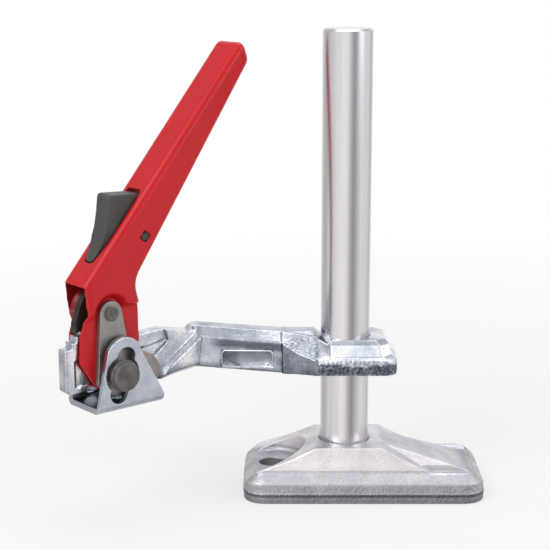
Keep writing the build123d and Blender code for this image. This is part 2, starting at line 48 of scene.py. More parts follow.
# A number at a point in millimetres with its normal
Field = Callable[[Vector, Vector], float]

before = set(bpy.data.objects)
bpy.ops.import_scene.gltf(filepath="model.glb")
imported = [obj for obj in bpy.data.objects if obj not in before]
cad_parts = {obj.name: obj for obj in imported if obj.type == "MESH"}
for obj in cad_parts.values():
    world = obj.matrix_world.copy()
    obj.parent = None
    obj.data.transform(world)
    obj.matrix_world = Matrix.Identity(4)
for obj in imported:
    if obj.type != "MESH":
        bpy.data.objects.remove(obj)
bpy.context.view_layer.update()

MM = 0.001
HEAD_TURN = math.radians(40)
# Level directions of the turned head: out of its near side, and square to that, to the column's side
NEAR = Vector((math.sin(HEAD_TURN), -math.cos(HEAD_TURN), 0.0))
INWARD = Vector((-NEAR.y, NEAR.x, 0.0))
PIVOT = Vector((-118.439, -35.610, 73.5))
# A face of the head looks inwards where its normal's part times its distance across passes this
INNER_FACE = 0.4

TONE = "tone"
DARKEST = 0.05
# How much green and blue a dark tone gains, so that painted shade is cooler
COOL_GREEN = 0.10
COOL_BLUE = 0.26

# Points of a CAD mesh that are closer than this are one
WELD = 0.002
EASE = 0.5
# Dimension, lacunarity and octaves of the fractal noise
FRACTAL = (0.8, 2.0, 3)

# Pointiness of a hollow, of plain faces and of a ridge
HOLLOW_POINT = 0.40
PLAIN_POINTS = (0.49, 0.51)
RIDGE_POINT = 0.60
# Values of a finish's pattern between which its colour and its roughness change
COLOUR_STOPS = (0.50, 0.85)
ROUGHNESS_STOPS = (0.45, 0.90)

# Grey levels that bright metal reflects. AROUND goes round from behind (0) by the left, the camera
# (0.5) and the right, with dark flags at both sides. The others go up from below (0) to above (1)
AROUND = (
    (0.0, 0.92), (0.10, 0.70), (0.165, 0.47), (0.21, 0.52), (0.26, 0.75), (0.41, 0.76),
    (0.46, 0.94), (0.50, 0.86), (0.545, 0.50), (0.585, 0.22), (0.615, 0.44), (0.66, 0.60),
    (0.70, 0.80), (0.80, 0.78), (0.864, 0.50), (0.93, 1.0), (1.0, 0.92),
)
BEFORE = (
    (0.0, 0.60), (0.25, 0.70), (0.39, 1.0), (0.47, 0.85), (0.58, 0.92), (0.72, 1.0),
    (0.86, 0.95), (1.0, 0.82),
)
BEHIND = ((0.0, 0.70), (0.3, 0.92), (0.6, 0.85), (1.0, 0.72))
REFLECTED_TINT = ((0.0, "#FFF9F6"), (1.0, "#F8FAFF"))
WHITE = "#FFFFFF"

LOG = logging.getLogger("clamp")


def linear(code: str) -> tuple[float, float, float, float]:
    """Turn an sRGB hex colour into a linear RGBA tuple.

    Args:
        code: the colour as "#RRGGBB".

    Returns:
        The colour in Blender's linear space, opaque.
    """
    channels = [int(code[i:i + 2], 16) / 255 for i in (1, 3, 5)]
    values = [c / 12.92 if c <= 0.04045 else ((c + 0.055) / 1.055) ** 2.4 for c in channels]
    return (*values, 1.0)


def add(tree: Tree, kind: str, settings: dict | None = None, **inputs: object) -> bpy.types.Node:
    """Add one node to a tree, with its settings, its values and its links.

    Args:
        tree: the node tree that gets the node.
        kind: the node's Blender type name.
        settings: properties to set on the node.
        inputs: socket name (spaces as underscores) or index (as "i0") to a value, an output
            socket, or a list of output sockets.

    Returns:
        The new node.
    """
    node = tree.nodes.new(kind)
    for name, value in (settings or {}).items():
        setattr(node, name, value)
    for name, value in inputs.items():
        key = int(name[1:]) if name[0] == "i" and name[1:].isdigit() else name.replace("_", " ")
        socket = node.inputs[key]
        for link in value if isinstance(value, list) else [value]:
            if isinstance(link, Socket):
                tree.links.new(link, socket)
            else:
                socket.default_value = link
    return node


def ramp(tree: Tree, factor: Socket, *stops: tuple[float, object]) -> Socket:
    """Add a colour ramp whose stops are places with a hex colour or a grey level.

    Args:
        tree: the node tree that gets the ramp.
        factor: the socket that drives it.
        stops: pairs of a place from 0 to 1 and a hex colour or a number.

    Returns:
        The ramp's colour output.
    """
    node = add(tree, "ShaderNodeValToRGB", Fac=factor)
    elements = node.color_ramp.elements
    while len(elements) < len(stops):
        elements.new(0.5)
    for element, (place, value) in zip(elements, stops):
        element.position = place
        element.color = linear(value) if isinstance(value, str) else (value, value, value, 1.0)
    return node.outputs["Color"]


def tinted(tree: Tree, colour: Socket, tint: Socket) -> Socket:
    """Multiply a colour by a tint.

    Args:
        tree: the node tree.
        colour: the colour socket.
        tint: the socket that multiplies it.

    Returns:
        The product.
    """
    settings = {"data_type": "RGBA", "blend_type": "MULTIPLY"}
    return add(tree, "ShaderNodeMix", settings, i0=1.0, i6=colour, i7=tint).outputs[2]


@dataclass(frozen=True)
class Finish:
    """A surface finish that becomes one material.

    Colours are sRGB hex, grain and wave are pattern sizes in millimetres, and the bumps are
    heights in millimetres. Streak draws the patterns out along Z. Hollow and ridge are the tones
    of painted shade in hollows and of painted highlights on ridges. A toned finish is multiplied
    by its mesh's tone attribute, which holds painted shade and highlight.
    """

    name: str
    colour: str
    worn_colour: str
    metallic: float
    roughness: tuple[float, float]
    grain: float
    grain_bump: float
    wave: float
    wave_bump: float
    grain_share: float = 0.35
    coat: float = 0.0
    coat_roughness: float = 0.12
    specular: float = 0.5
    streak: float = 1.0
    hollow: float = 1.0
    ridge: float = 1.0
    toned: bool = False

    def pattern(self, tree: Tree, place: Socket, size: float, detail: float) -> Socket:
        """Add a noise pattern of a real size.

        Args:
            tree: the material's node tree.
            place: coordinates in metres.
            size: the pattern's size in millimetres.
            detail: the noise's detail.

        Returns:
            The pattern's value output.
        """
        texture = add(tree, "ShaderNodeTexNoise", Vector=place, Scale=1 / (size * MM), Detail=detail)
        return texture.outputs["Fac"]

    def edges(self, tree: Tree, colour: Socket) -> Socket:
        """Paint shade into hollows and highlights onto ridges, found by the mesh's pointiness.

        Args:
            tree: the material's node tree.
            colour: the plain colour.

        Returns:
            The colour with painted shade in its hollows and painted highlights on its ridges.
        """
        point = add(tree, "ShaderNodeNewGeometry").outputs["Pointiness"]
        plain = [(place, 1.0) for place in PLAIN_POINTS]
        shade = ramp(tree, point, (HOLLOW_POINT, self.hollow), *plain, (RIDGE_POINT, self.ridge))
        return tinted(tree, colour, shade)

    def material(self) -> bpy.types.Material:
        """Build the material.

        Returns:
            A node material that reads Object coordinates.
        """
        material = bpy.data.materials.new(self.name)
        material.use_nodes = True
        tree = material.node_tree
        tree.nodes.clear()
        coords = add(tree, "ShaderNodeTexCoord").outputs["Object"]
        drawn = (1.0, 1.0, 1 / self.streak)
        place = add(tree, "ShaderNodeMapping", Vector=coords, Scale=drawn).outputs[0]
        patches = self.pattern(tree, place, size=self.wave, detail=3.0)
        speckle = self.pattern(tree, place, size=self.grain, detail=2.0)
        sum_up = {"operation": "MULTIPLY_ADD"}
        blend = add(
            tree, "ShaderNodeMath", sum_up, i0=speckle, i1=self.grain_share, i2=patches,
        ).outputs[0]
        colour = ramp(tree, blend, *zip(COLOUR_STOPS, (self.colour, self.worn_colour)))
        # Painted shade in hollows and painted highlights on ridges
        if self.hollow != self.ridge:
            colour = self.edges(tree, colour)
        # The tone attribute paints shade and highlight into the colour
        if self.toned:
            tone = add(tree, "ShaderNodeAttribute", {"attribute_name": TONE}).outputs["Color"]
            colour = tinted(tree, colour, tone)
        shine = ramp(tree, blend, *zip(ROUGHNESS_STOPS, self.roughness))
        fine = add(
            tree, "ShaderNodeMath", {"operation": "MULTIPLY"}, i0=speckle, i1=self.grain_bump * MM,
        ).outputs[0]
        height = add(
            tree, "ShaderNodeMath", sum_up, i0=patches, i1=self.wave_bump * MM, i2=fine,
        ).outputs[0]
        bump = add(tree, "ShaderNodeBump", Strength=1.0, Distance=1.0, Height=height)
        shader = add(
            tree, "ShaderNodeBsdfPrincipled", Base_Color=colour, Roughness=shine,
            Metallic=self.metallic, Normal=bump.outputs[0], Coat_Weight=self.coat,
            Coat_Roughness=self.coat_roughness, Specular_IOR_Level=self.specular,
        )
        add(tree, "ShaderNodeOutputMaterial", Surface=shader.outputs[0])
        return material


# Zinc on a forging: blue-grey metal with soft bright and dark patches and a shot-blast grain
FORGED_ZINC = Finish(
    "zinc_forging", "#D8DADF", "#9EA4AD", metallic=1.0, roughness=(0.20, 0.36), grain=0.9,
    grain_bump=0.05, wave=11.0, wave_bump=0.10, hollow=0.45, ridge=1.35, toned=True,
)
# Zinc on a rougher forging: pale and matt, pitted along the trimmed lower edge, where the foot's tone
# paints shade
CAST_ZINC = Finish(
    "zinc_rough_forging", "#ECE8E8", "#D8D5D7", metallic=1.0, roughness=(0.36, 0.55), grain=0.8,
    grain_bump=0.16, wave=9.0, wave_bump=0.08, hollow=0.6, ridge=1.1, toned=True,
)
# Bright plate on a drawn bar: clear reflections, with faint drawing streaks along the bar
BRIGHT_BAR = Finish(
    "bright_plate", "#DFDEE0", "#CFCED2", metallic=1.0, roughness=(0.22, 0.30), grain=0.5,
    grain_bump=0.006, wave=6.0, wave_bump=0.006, streak=60.0,
)
# Powder coat on steel: even semi-gloss red with a faint orange peel
RED_COAT = Finish(
    "powder_coat_red", "#D0131B", "#C81119", metallic=0.0, roughness=(0.36, 0.42), grain=1.6,
    grain_bump=0.003, wave=30.0, wave_bump=0.008, coat=0.12, specular=0.32, hollow=0.6, ridge=1.15,
    toned=True,
)
# Zinc on rolled sheet: smooth and satin, with painted highlights on its pressed edges
ZINC_SHEET = Finish(
    "zinc_sheet", "#C2C9D2", "#AAB1BC", metallic=1.0, roughness=(0.20, 0.34), grain=0.7,
    grain_bump=0.008, wave=10.0, wave_bump=0.02, hollow=0.6, ridge=1.5, toned=True,
)
# Hardened plate: warm grey, dull, tumbled
CAM_STEEL = Finish(
    "hardened_plate", "#A39E9C", "#918C8A", metallic=0.9, roughness=(0.40, 0.55), grain=0.6,
    grain_bump=0.02, wave=7.0, wave_bump=0.02, hollow=0.8, ridge=1.6,
)
# Blackened steel of the pin and the rivets: brown-grey, matt, with the fine pits of a headed part
PIN_STEEL = Finish(
    "blackened_pin", "#787673", "#5A5856", metallic=0.6, roughness=(0.45, 0.60), grain=0.55,
    grain_bump=0.05, wave=5.0, wave_bump=0.03, hollow=0.6, ridge=1.5,
)
# Blackened steel of the pawl: darker, and smoother where it slides
PAWL_STEEL = Finish(
    "blackened_pawl", "#4A4846", "#33312F", metallic=0.7, roughness=(0.40, 0.55), grain=0.6,
    grain_bump=0.02, wave=5.0, wave_bump=0.02,
)
# Drawn spring wire: bright and smooth
SPRING_STEEL = Finish(
    "spring_wire", "#9A9A9C", "#7E7E80", metallic=1.0, roughness=(0.30, 0.40), grain=0.4,
    grain_bump=0.002, wave=3.0, wave_bump=0.002,
)
# Glass-filled nylon: dark grey, dull, with the fine grain of a spark-eroded mould
NYLON = Finish(
    "filled_nylon", "#474643", "#3E3D3B", metallic=0.0, roughness=(0.44, 0.58), grain=0.5,
    grain_bump=0.03, wave=12.0, wave_bump=0.02, hollow=0.7, ridge=1.6,
)


def bake(piece: bpy.types.Object) -> None:
    """Apply an object's modifiers by taking its evaluated mesh.

    Args:
        piece: the object; its modifiers are removed.
    """
    graph = bpy.context.evaluated_depsgraph_get()
    graph.update()
    mesh = bpy.data.meshes.new_from_object(piece.evaluated_get(graph))
    piece.modifiers.clear()
    piece.data = mesh


def dress(piece: bpy.types.Object, finish: Finish, body: str, slot: str, *nodes: str) -> None:
    """Give a piece its material and its place in the frame.

    Args:
        piece: a finished piece whose mesh lies where it belongs.
        finish: its finish.
        body: the body that it rides on.
        slot: the record's material slot; not used.
        nodes: the CAD nodes that it stands for.
    """
    piece.data.materials.clear()
    piece.data.materials.append(finish.material())
    if nodes:
        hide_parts(*nodes)
    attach(piece, body)
    LOG.info("%s: %d faces on %s", piece.name, len(piece.data.polygons), body)


def keep(node: str, finish: Finish) -> None:
    """Give a CAD node that keeps its mesh a material.

    Args:
        node: the node's name.
        finish: its finish.
    """
    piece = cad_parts[node]
    piece.data.materials.clear()
    piece.data.materials.append(finish.material())
    LOG.info("%s keeps its mesh", node)


def centre(node: str) -> Vector:
    """Give the middle of a CAD node's box, in metres."""
    low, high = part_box(node)
    return (Vector(low) + Vector(high)) / 2


@dataclass
class Skin:
    """How the skin of one CAD node is grown."""

    node: str
    name: str
    voxel: float
    passes: int
    limit: int = 190000

    def grow(self, shape: Shaper | None = None, mend: Shaper | None = None) -> bpy.types.Object:
        """Grow the skin: an even grid over the node, eased, shaped and thinned.

        Args:
            shape: a function that works on the eased mesh.
            mend: a function that works on a copy of the node's own mesh, before the grid.

        Returns:
            The new object, with no modifier and no material.
        """
        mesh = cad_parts[self.node].data.copy()
        shell = bmesh.new()
        shell.from_mesh(mesh)
        bmesh.ops.remove_doubles(shell, verts=shell.verts, dist=WELD * MM)
        shell.to_mesh(mesh)
        shell.free()
        if mend:
            mend(mesh)
        piece = bpy.data.objects.new(self.name, mesh)
        bpy.context.scene.collection.objects.link(piece)
        grid = piece.modifiers.new("even_grid", "REMESH")
        grid.mode = "VOXEL"
        grid.voxel_size = self.voxel * MM
        grid.use_smooth_shade = True
        ease = piece.modifiers.new("eased_edges", "SMOOTH")
        ease.factor = EASE
        ease.iterations = self.passes
        bake(piece)
        if shape:
            shape(piece.data)
        triangles = 2 * len(piece.data.polygons)
        if triangles > self.limit:
            thin = piece.modifiers.new("thinned", "DECIMATE")
            thin.ratio = self.limit / triangles
            bake(piece)
        return piece


def displaced(mesh: Mesh, height: Field) -> None:
    """Move each point of a mesh along its normal.

    Args:
        mesh: the mesh, in metres.
        height: gives the distance in millimetres.
    """
    normals = [vertex.normal.copy() for vertex in mesh.vertices]
    for vertex, normal in zip(mesh.vertices, normals):
        rise = height(vertex.co / MM, normal)
        if rise:
            vertex.co += normal * rise * MM


def toned(mesh: Mesh, tone: Field) -> None:
    """Store the tone of each point of a mesh, mostly painted shade and highlight; darker tones are
    made cooler.

    Args:
        mesh: the mesh, in metres.
        tone: gives the tone.
    """
    values = []
    for vertex in mesh.vertices:
        grey = max(tone(vertex.co / MM, vertex.normal), DARKEST)
        cool = max(1.0 - grey, 0.0)
        values.extend((grey, grey * (1 + COOL_GREEN * cool), grey * (1 + COOL_BLUE * cool), 1.0))
    mesh.attributes.new(TONE, "FLOAT_COLOR", "POINT").data.foreach_set("color", values)


def relaxed(mesh: Mesh, inside: Callable[[Vector], bool], passes: int) -> None:
    """Smooth part of a mesh further.

    Args:
        mesh: the mesh, in metres.
        inside: says of a point in millimetres whether it is smoothed.
        passes: how often.
    """
    shell = bmesh.new()
    shell.from_mesh(mesh)
    chosen = [vertex for vertex in shell.verts if inside(vertex.co / MM)]
    for _ in range(passes):
        bmesh.ops.smooth_vert(
            shell, verts=chosen, factor=EASE, use_axis_x=True, use_axis_y=True, use_axis_z=True,
        )
    shell.to_mesh(mesh)
    shell.free()


def step(value: float, low: float, high: float) -> float:
    """Rise smoothly from 0 at low to 1 at high."""
    share = min(max((value - low) / (high - low), 0.0), 1.0)
    return share * share * (3 - 2 * share)


@dataclass(frozen=True)
class Shade:
    """An amount of tone that comes or goes smoothly between two values."""

    amount: float
    start: float
    end: float

    def rising(self, value: float) -> float:
        """Give the amount at a value: none at the start and all at the end."""
        return self.amount * step(value, self.start, self.end)

    def falling(self, value: float) -> float:
        """Give the amount at a value: all at the start and none at the end."""
        return self.amount * (1 - step(value, self.start, self.end))


def grit_noise(point: Vector, grain: float) -> float:
    """Give a rough noise of a grain size at a point, both in millimetres."""
    return noise.fractal(point / grain, *FRACTAL)


def looks_inwards(point: Vector, normal: Vector) -> bool:
    """Tell whether a face of the head looks towards its middle plane."""
    return normal.dot(NEAR) * (point - PIVOT).dot(NEAR) < -INNER_FACE


def grown(name: str, tree: Tree, mesh: Mesh, **values: object) -> bpy.types.Object:
    """Run a Geometry Nodes tree on a mesh and keep the result as a plain mesh.

    Args:
        name: the new object's name.
        tree: the tree.
        mesh: the mesh that the tree starts from.
        values: the tree's named inputs, spaces as underscores.

    Returns:
        The new object, with no modifier.
    """
    piece = bpy.data.objects.new(name, mesh)
    bpy.context.scene.collection.objects.link(piece)
    modifier = piece.modifiers.new("grown", "NODES")
    modifier.node_group = tree
    items = tree.interface.items_tree
    sockets = {item.name: item.identifier for item in items if item.in_out == "INPUT"}
    for key, value in values.items():
        modifier[sockets[key.replace("_", " ")]] = value
    bake(piece)
    return piece


def geometry_tree(name: str, **inputs: str) -> tuple[Tree, dict[str, Socket]]:
    """Start a Geometry Nodes tree.

    Args:
        name: the tree's name.
        inputs: input names (spaces as underscores) with the end of their socket type's name.

    Returns:
        The tree and its input sockets by name.
    """
    tree = bpy.data.node_groups.new(name, "GeometryNodeTree")
    for way in ("INPUT", "OUTPUT"):
        tree.interface.new_socket("Geometry", in_out=way, socket_type="NodeSocketGeometry")
    for key, kind in inputs.items():
        title = key.replace("_", " ")
        tree.interface.new_socket(title, in_out="INPUT", socket_type="NodeSocket" + kind)
    start = add(tree, "NodeGroupInput")
    return tree, {socket.name: socket for socket in start.outputs if socket.name}


def close_tree(tree: Tree, shape: Socket, material: Socket, smooth: bool) -> None:
    """End a Geometry Nodes tree in real, dressed geometry.

    Args:
        tree: the tree.
        shape: the geometry so far.
        material: the material input.
        smooth: whether faces are shaded smooth.
    """
    real = add(tree, "GeometryNodeRealizeInstances", Geometry=shape).outputs[0]
    shaded = add(tree, "GeometryNodeSetShadeSmooth", Geometry=real, Shade_Smooth=smooth).outputs[0]
    dressed = add(tree, "GeometryNodeSetMaterial", Geometry=shaded, Material=material).outputs[0]
    add(tree, "NodeGroupOutput", Geometry=dressed)


@dataclass
class FootUnit:
    """The forged foot and the bright column that stands in it.

    Names that end in tone or pits are tones, those in normal are parts of a normal. The tones
    paint shade and highlight, and the pits are real. The band is the trimmed wall, whose painted
    shade goes by the height above the parting line.
    """

    voxel: float = 0.45
    passes: int = 4
    sole_top: float = 0.3
    parting_z: float = 4.0
    wall_top: float = 9.0
    shelf_z: float = 13.0
    plateau_z: float = 27.0
    bolt_x: float = -37.4
    bolt_room: float = 9.0
    spot_face: float = 18.0
    seat_edge: tuple[float, float] = (12.8, 15.5)
    seat_spread: float = 3.0
    wall_edge: tuple[float, float] = (18.0, 22.0)
    wall_lift: float = 1.7
    rib_x: float = 20.0
    rib_crest: float = 6.0
    rib_y: float = 17.0
    rib_rise: float = 0.4

    grain: float = 1.1
    grit_level: float = 0.3
    wall_rough: float = 0.20
    top_rough: float = 0.045
    wall_normal: float = 0.7
    groove_drop: float = 0.7
    groove_half: float = 0.45
    groove_depth: float = 0.25

    pit: float = 0.7
    # Painted shade: the bolt hole, the steep wall, darkest low down, a line at the parting groove,
    # faces that slope towards +X, flat tops and the foot of the shelf. Painted highlight: the rib's
    # sides
    hole_tone: float = 0.55
    band_rise: float = 3.0
    band_normal: float = 0.75
    band_tone: float = 0.36
    band_pits: float = 0.10
    band_low: Shade = Shade(0.22, 0.0, 1.5)
    band_high: Shade = Shade(0.12, 4.0, 6.5)
    line_rise: float = 0.5
    line_half: float = 0.45
    line_tone: float = 0.15
    top_tone: float = 1.02
    top_pits: float = 0.06
    end_slope: Shade = Shade(0.18, 0.1, 0.3)
    level_face: Shade = Shade(0.12, 0.85, 0.97)
    shelf_painted_shade: Shade = Shade(0.34, 0.0, 2.5)
    rib_flank: Shade = Shade(1.05, 0.2, 0.4)

    def from_bolt(self, x: float, y: float) -> float:
        """Give a place's distance from the bolt hole's axis."""
        return math.hypot(x - self.bolt_x, y)

    def settle(self, mesh: Mesh) -> None:
        """Spread the seat's long sides and lift the walls' shoulder, as the forging has them.

        Args:
            mesh: the foot's eased mesh.
        """
        for vertex in mesh.vertices:
            x, y, z = vertex.co / MM
            if self.from_bolt(x, y) < self.spot_face:
                continue
            if z > self.shelf_z:
                spread = self.seat_spread * (z - self.shelf_z) / (self.plateau_z - self.shelf_z)
                vertex.co.y += math.copysign(spread * step(abs(y), *self.seat_edge), y) * MM
            if abs(y) > self.wall_edge[0]:
                lift = step(z, 0.0, self.shelf_z) * (1 - step(z, self.shelf_z, self.plateau_z))
                vertex.co.z += self.wall_lift * lift * step(abs(y), *self.wall_edge) * MM

    def grit(self, point: Vector, normal: Vector) -> float:
        """Give the forging's relief: coarse grit and a parting groove on the wall, faint grit above.

        Args:
            point: a point of the foot.
            normal: its normal.

        Returns:
            The relief's height.
        """
        if point.z < self.sole_top or self.from_bolt(point.x, point.y) < self.bolt_room:
            return 0.0
        wall = point.z < self.wall_top and abs(normal.z) < self.wall_normal
        in_groove = wall and abs(point.z - self.parting_z + self.groove_drop) < self.groove_half
        size = self.wall_rough if wall else self.top_rough
        relief = size * (grit_noise(point, self.grain) - self.grit_level)
        return relief - self.groove_depth if in_groove else relief

    def tone(self, point: Vector, normal: Vector) -> float:
        """Give the foot's painted shade and highlight: pale top, grey wall, dark band, bright rib
        sides.

        Args:
            point: a point of the foot.
            normal: its normal.

        Returns:
            The tone.
        """
        # Painted shade in the bolt hole
        if self.from_bolt(point.x, point.y) < self.bolt_room:
            return self.hole_tone
        pits = grit_noise(point, self.pit)
        over_shelf = point.z - self.shelf_z
        # Painted shade on the steep wall, darkest low down, and a painted dark line at the parting
        # groove
        if abs(normal.z) < self.band_normal and over_shelf < self.band_rise:
            rise = point.z - self.parting_z
            tone = self.band_tone + self.band_low.rising(rise) + self.band_high.rising(rise)
            if abs(rise - self.line_rise) < self.line_half:
                tone = self.line_tone
            return tone + self.band_pits * pits
        # Painted shade on faces that slope towards +X, on flat tops and just above the shelf
        tone = self.top_tone - self.end_slope.rising(normal.x) - self.level_face.rising(normal.z)
        tone -= self.shelf_painted_shade.falling(over_shelf)
        # Painted highlight on the rib's sides
        beside_rib = point.x > self.rib_x and self.rib_crest < abs(point.y) < self.rib_y
        if beside_rib and over_shelf > self.rib_rise:
            tone = max(tone, self.rib_flank.rising(abs(normal.y)))
        return tone + self.top_pits * pits

    def shape(self, mesh: Mesh) -> None:
        """Shape and tone the foot's skin."""
        self.settle(mesh)
        displaced(mesh, self.grit)
        toned(mesh, self.tone)

    def build(self) -> None:
        """Make the foot's skin and dress the column."""
        skin = Skin("foot", "foot_forging", self.voxel, self.passes).grow(self.shape)
        dress(skin, CAST_ZINC, "base", "foot_zinc", "foot")
        keep("column", BRIGHT_BAR)


@dataclass
class ArmUnit:
    """The forged arm with its bare side panel, the pivot pin and the friction ring.

    Distances named x run outwards from the column's axis, and heights named z run up from the
    arm's base. Names that end in tone or pits are tones, those in normal are parts of a normal.
    The tones are mostly painted shade, highlight and reflection; the pits are real.
    """

    voxel: float = 0.42
    passes: int = 3
    pin_voxel: float = 0.28
    base_z: float = 65.0
    flare_end_x: float = 14.0
    neck_x: float = 32.5
    crank_x: float = 76.0
    neck_width: float = 20.0
    crank_width: float = 16.5
    crank_rise: float = 3.0
    draft: float = 1.4
    side_low: float = 0.2
    side_high: float = 14.9

    panel_x: float = 50.0
    panel_z: float = 6.6
    panel_length: float = 26.0
    panel_height: float = 8.6
    panel_corner: float = 1.4
    panel_depth: float = 0.45
    slit_ends: float = 3.0
    slit_sides: float = 0.8
    face_reach: float = 3.0
    flat_ends: tuple[float, float] = (1.2, 2.4)
    flat_sides: tuple[float, float] = (0.5, 1.2)
    rim: float = 0.55
    rim_sides: int = 10
    corner_points: int = 1
    rim_tone: float = 1.2

    bore_room: float = 14.0
    flange_top: float = 7.7
    steep_normal: float = 0.6
    grain: float = 1.5
    grit_level: float = 0.2
    edge_rough: float = 0.34
    plain_rough: float = 0.03
    neck_y: float = 9.0
    neck_normal: float = 0.75
    neck_rough: float = 0.13
    wrinkle_rough: float = 0.25
    wrinkle: float = 4.5

    pit: float = 1.2
    # The collar's steep flash edge: darker and ragged low down, lighter at its very bottom. Painted
    # highlight on the ledge and on the boss's sides
    edge_top: float = 7.4
    edge_tone: float = 0.30
    edge_pits: float = 0.35
    ragged: float = 1.6
    ragged_grain: float = 3.0
    edge_high: Shade = Shade(1.1, 4.6, 6.0)
    edge_lip: Shade = Shade(0.2, 0.4, 1.2)
    ledge_top: float = 9.4
    ledge_tone: float = 1.35
    boss_tone: float = 2.0
    collar_tone: float = 1.05
    # Painted shade on the neck's sides, darker low down, and a painted dark line where the shank
    # starts
    neck_top_tone: float = 0.80
    neck_side_tone: float = 0.46
    neck_pits: float = 0.12
    neck_low: Shade = Shade(0.12, 0.5, 3.0)
    neck_line: Shade = Shade(0.45, 0.2, 0.8)
    # Painted shade under the head's knuckle
    head_tone: float = 1.12
    head_pits: float = 0.06
    knuckle_low: Shade = Shade(0.72, 2.0, 7.5)
    knuckle_end: Shade = Shade(1.0, 95.0, 108.0)
    knuckle_turn: Shade = Shade(1.0, 0.2, 0.5)
    # Painted highlight on the bevel, a painted dark reflection band along the shank, and painted shade
    # along its lower edge and at its root
    bevel_normal: float = 0.35
    bevel_tone: float = 0.92
    shank_tone: float = 0.98
    shank_pits: float = 0.05
    reflection_low: Shade = Shade(0.72, 9.0, 11.5)
    reflection_high: Shade = Shade(1.0, 13.5, 15.2)
    reflection_end: Shade = Shade(1.0, 60.0, 74.0)
    shank_edge: Shade = Shade(0.45, 0.8, 3.2)
    root_end: Shade = Shade(0.36, 33.0, 38.0)
    root_high: Shade = Shade(1.0, 6.0, 9.0)
    panel_shade: float = 0.30

    def share(self, x: float) -> float:
        """Give how far a distance lies along the shank, 0 at the neck and 1 at the crank."""
        return (x - self.neck_x) / (self.crank_x - self.neck_x)

    def side(self, x: float, z: float) -> float:
        """Give the shank's half-width at a distance and a height."""
        share = self.share(x)
        width = self.neck_width + share * (self.crank_width - self.neck_width)
        rise = (self.side_high + self.crank_rise * share - z) / (self.side_high - self.side_low)
        return width / 2 + self.draft * rise

    def off_panel(self, x: float, z: float) -> tuple[float, float]:
        """Give how far a place lies past the panel's ends and past its long sides."""
        ends = abs(x - self.panel_x) - self.panel_length / 2
        return ends, abs(z - self.panel_z) - self.panel_height / 2

    def surface(self, point: Vector, normal: Vector) -> float:
        """Give the arm's relief: grit on the flash edge, wrinkles on the flared neck, faint elsewhere.

        Args:
            point: a point of the arm.
            normal: its normal.

        Returns:
            The relief's height, none in the bore.
        """
        grit = grit_noise(point, self.grain) - self.grit_level
        x, z = -point.x, point.z - self.base_z
        if self.flare_end_x < x < self.neck_x:
            if abs(normal.z) < self.neck_normal and abs(point.y) > self.neck_y:
                swell = noise.noise(point / self.wrinkle) - self.grit_level
                return self.neck_rough * grit + self.wrinkle_rough * swell
        if math.hypot(point.x, point.y) <= self.bore_room:
            return 0.0
        edge = x < self.flare_end_x and z < self.flange_top and abs(normal.z) < self.steep_normal
        return (self.edge_rough if edge else self.plain_rough) * grit

    def collar(self, point: Vector, normal: Vector, z: float, pits: float) -> float:
        """Give the collar's tones: dark, ragged flash edge below a painted highlight on ledge and
        boss.

        Args:
            point: a point of the collar.
            normal: its normal.
            z: its height.
            pits: the pits' noise there.

        Returns:
            The tone.
        """
        steep = abs(normal.z) < self.steep_normal
        if z < self.edge_top and steep:
            torn = z + self.ragged * noise.noise(point / self.ragged_grain)
            tone = self.edge_tone + self.edge_high.rising(torn) + self.edge_lip.falling(z)
            return tone + self.edge_pits * pits
        if z < self.ledge_top:
            return self.ledge_tone
        return self.boss_tone if steep else self.collar_tone

    def neck(self, normal: Vector, x: float, z: float, pits: float) -> float:
        """Give the flared neck's painted shade: darker sides, and a dark line where the shank starts.

        Args:
            normal: the point's normal.
            x: its distance.
            z: its height.
            pits: the pits' noise there.

        Returns:
            The tone.
        """
        if normal.z > self.steep_normal:
            return self.neck_top_tone
        dark = self.neck_low.falling(z) + self.neck_line.falling(abs(x - self.neck_x))
        return self.neck_side_tone + self.neck_pits * pits - dark

    def shank(self, normal: Vector, x: float, z: float, pits: float) -> float:
        """Give the shank's tones: painted highlight on the bevel over a painted dark reflection band,
        painted shade along the lower edge and at the root, and a darker panel.

        Args:
            normal: the point's normal.
            x: its distance.
            z: its height.
            pits: the pits' noise there.

        Returns:
            The tone.
        """
        if normal.z > self.bevel_normal:
            return self.bevel_tone
        level = z - self.crank_rise * self.share(x)
        # A painted dark reflection band along the shank, and painted shade at its lower edge and root
        streak = self.reflection_low.rising(level) * self.reflection_high.falling(level)
        root = self.root_end.falling(x) * self.root_high.falling(level)
        dark = streak * self.reflection_end.falling(x) + max(self.shank_edge.falling(level), root)
        if max(self.off_panel(x, z)) < 0:
            dark += self.panel_shade
        return self.shank_tone - dark + self.shank_pits * pits

    def tone(self, point: Vector, normal: Vector) -> float:
        """Give the arm's tones, stretch by stretch from the collar to the head.

        Args:
            point: a point of the arm.
            normal: its normal.

        Returns:
            The tone.
        """
        x, z = -point.x, point.z - self.base_z
        pits = grit_noise(point, self.pit)
        if x < self.flare_end_x:
            return self.collar(point, normal, z, pits)
        if x < self.neck_x:
            return self.neck(normal, x, z, pits)
        if x <= self.crank_x:
            return self.shank(normal, x, z, pits)
        # Painted shade under the knuckle
        under = self.knuckle_low.falling(z) * self.knuckle_turn.falling(normal.z)
        return self.head_tone - under * self.knuckle_end.falling(x) + self.head_pits * pits

    def close_slit(self, mesh: Mesh) -> None:
        """Bring the node's own panel cut back out to the near side, as the panel is sunk here.

        Args:
            mesh: a copy of the node's mesh.
        """
        for vertex in mesh.vertices:
            point = vertex.co / MM
            x, z = -point.x, point.z - self.base_z
            ends, sides = self.off_panel(x, z)
            depth = self.side(x, z) + point.y
            if ends < self.slit_ends and sides < self.slit_sides and 0 < depth < self.face_reach:
                vertex.co.y = -self.side(x, z) * MM

